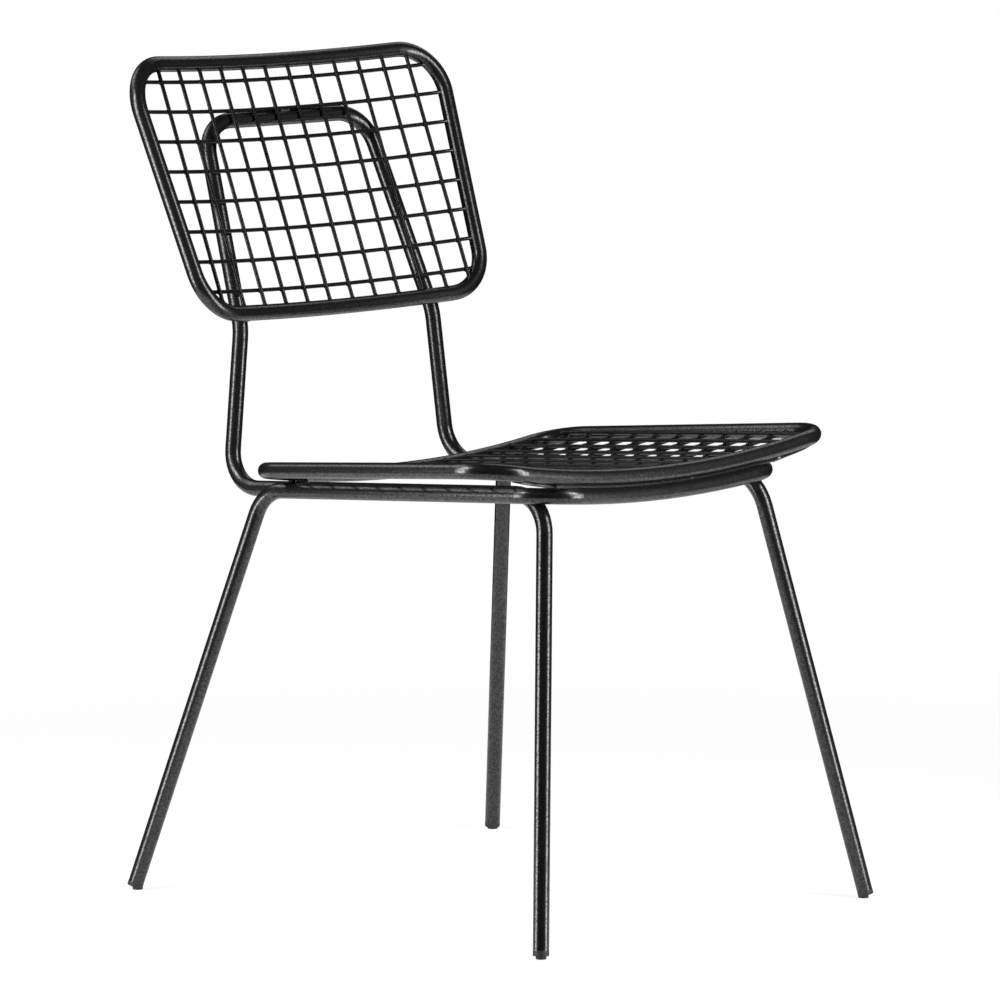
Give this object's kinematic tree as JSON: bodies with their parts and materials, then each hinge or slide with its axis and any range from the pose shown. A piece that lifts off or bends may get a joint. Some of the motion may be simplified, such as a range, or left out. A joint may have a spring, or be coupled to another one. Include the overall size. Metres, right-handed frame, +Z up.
{
  "type": "wire mesh chair",
  "caption": "Armless side chair of bent round tube, with a dished wire mesh seat and a dished wire mesh back, each framed by a tube ring.",
  "frame": {"origin": "on the floor, under the middle of the chair's box", "axes": "+Z up; the sitter faces -Y; +X is to the sitter's left"},
  "size_m": [0.5228, 0.6318, 0.8302],
  "materials": {
    "powder_coat": "black powder coat, satin with a fine grain",
    "plug": "black moulded plastic"
  },
  "bodies": {
    "root": {"back_cross_wire_01": "powder_coat", "back_cross_wire_02": "powder_coat", "back_cross_wire_03": "powder_coat", "back_cross_wire_04": "powder_coat", "back_cross_wire_05": "powder_coat", "back_cross_wire_06": "powder_coat", "back_cross_wire_07": "powder_coat", "back_cross_wire_08": "powder_coat", "back_long_wire_01": "powder_coat", "back_long_wire_02": "powder_coat", "back_long_wire_03": "powder_coat", "back_long_wire_04": "powder_coat", "back_long_wire_05": "powder_coat", "back_long_wire_06": "powder_coat", "back_long_wire_07": "powder_coat", "back_long_wire_08": "powder_coat", "back_long_wire_09": "powder_coat", "back_long_wire_10": "powder_coat", "back_long_wire_11": "powder_coat", "back_long_wire_12": "powder_coat", "back_ring": "powder_coat", "leg_plug_front_left": "plug", "leg_plug_front_right": "plug", "leg_plug_rear_left": "plug", "leg_plug_rear_right": "plug", "main_frame_tube": "powder_coat", "rear_frame_tube": "powder_coat", "seat_cross_wire_01": "powder_coat", "seat_cross_wire_02": "powder_coat", "seat_cross_wire_03": "powder_coat", "seat_cross_wire_04": "powder_coat", "seat_cross_wire_05": "powder_coat", "seat_cross_wire_06": "powder_coat", "seat_cross_wire_07": "powder_coat", "seat_cross_wire_08": "powder_coat", "seat_cross_wire_09": "powder_coat", "seat_cross_wire_10": "powder_coat", "seat_cross_wire_11": "powder_coat", "seat_front_spacer": "powder_coat", "seat_long_wire_01": "powder_coat", "seat_long_wire_02": "powder_coat", "seat_long_wire_03": "powder_coat", "seat_long_wire_04": "powder_coat", "seat_long_wire_05": "powder_coat", "seat_long_wire_06": "powder_coat", "seat_long_wire_07": "powder_coat", "seat_long_wire_08": "powder_coat", "seat_long_wire_09": "powder_coat", "seat_long_wire_10": "powder_coat", "seat_long_wire_11": "powder_coat", "seat_long_wire_12": "powder_coat", "seat_long_wire_13": "powder_coat", "seat_long_wire_14": "powder_coat", "seat_ring": "powder_coat"}
  },
  "joints": []
}
